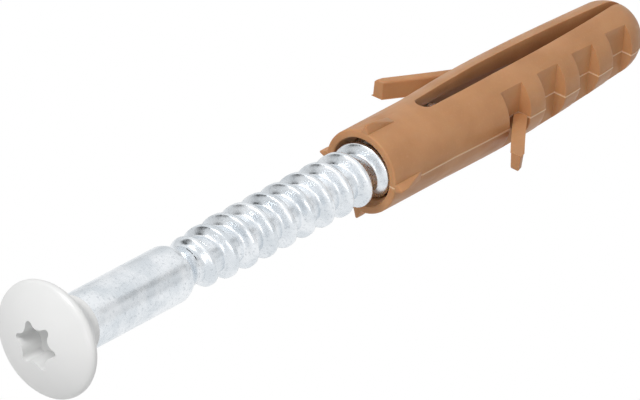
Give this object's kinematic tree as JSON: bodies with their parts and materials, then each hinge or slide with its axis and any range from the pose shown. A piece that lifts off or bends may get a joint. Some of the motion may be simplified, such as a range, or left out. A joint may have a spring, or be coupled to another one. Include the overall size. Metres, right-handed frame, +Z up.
{
  "type": "wall anchor",
  "caption": "Two-jaw nylon wall plug with sprung locking wings, and a raised countersunk wood screw started in its mouth.",
  "frame": {"origin": "centre of the plug's mouth, in the plane of the wall's face", "axes": "+Y along the common axis into the wall, +Z up through the slot between the jaws, +X towards the right-hand locking wing"},
  "size_m": [0.0172, 0.0824, 0.011],
  "materials": {
    "nylon": "fine satin, as moulded",
    "lacquer": "satin white lacquer",
    "zinc": "bright zinc plating"
  },
  "bodies": {
    "plug": {"plug_sleeve": "nylon", "grip_fins": "nylon"},
    "jaw_right": {"jaw_right": "nylon"},
    "jaw_left": {"jaw_left": "nylon"},
    "wing_right": {"wing_right": "nylon"},
    "wing_left": {"wing_left": "nylon"},
    "screw": {"screw_head": "lacquer", "screw_shank": "zinc", "screw_thread": "zinc"}
  },
  "joints": [
    {"name": "screw_drive", "type": "slide", "parent": "plug", "child": "screw", "axis": [0, 1, 0], "range_m": [0, 0.0221]},
    {"name": "jaw_right_spread", "type": "hinge", "parent": "plug", "child": "jaw_right", "pos_m": [0.004, 0.0084, 0], "axis": [0, 0, -1], "range_deg": [0, 6.9]},
    {"name": "jaw_left_spread", "type": "hinge", "parent": "plug", "child": "jaw_left", "pos_m": [-0.004, 0.0084, 0], "axis": [0, 0, 1], "range_deg": [0, 6.9]},
    {"name": "wing_right_fold", "type": "hinge", "parent": "jaw_right", "child": "wing_right", "pos_m": [0.00349, 0.0184, 0.0001], "axis": [0, 0.01, -0.9999], "range_deg": [-10, 8], "stiffness_Nm_per_rad": 0.1},
    {"name": "wing_left_fold", "type": "hinge", "parent": "jaw_left", "child": "wing_left", "pos_m": [-0.00368, 0.01833, 0.0001], "axis": [0, -0.01, 0.9999], "range_deg": [-10, 8], "stiffness_Nm_per_rad": 0.1}
  ],
  "couplings": [
    {"joint": "jaw_right_spread", "follows": "screw_drive", "rad_per_m": 5.4105},
    {"joint": "jaw_left_spread", "follows": "screw_drive", "rad_per_m": 5.4105}
  ]
}
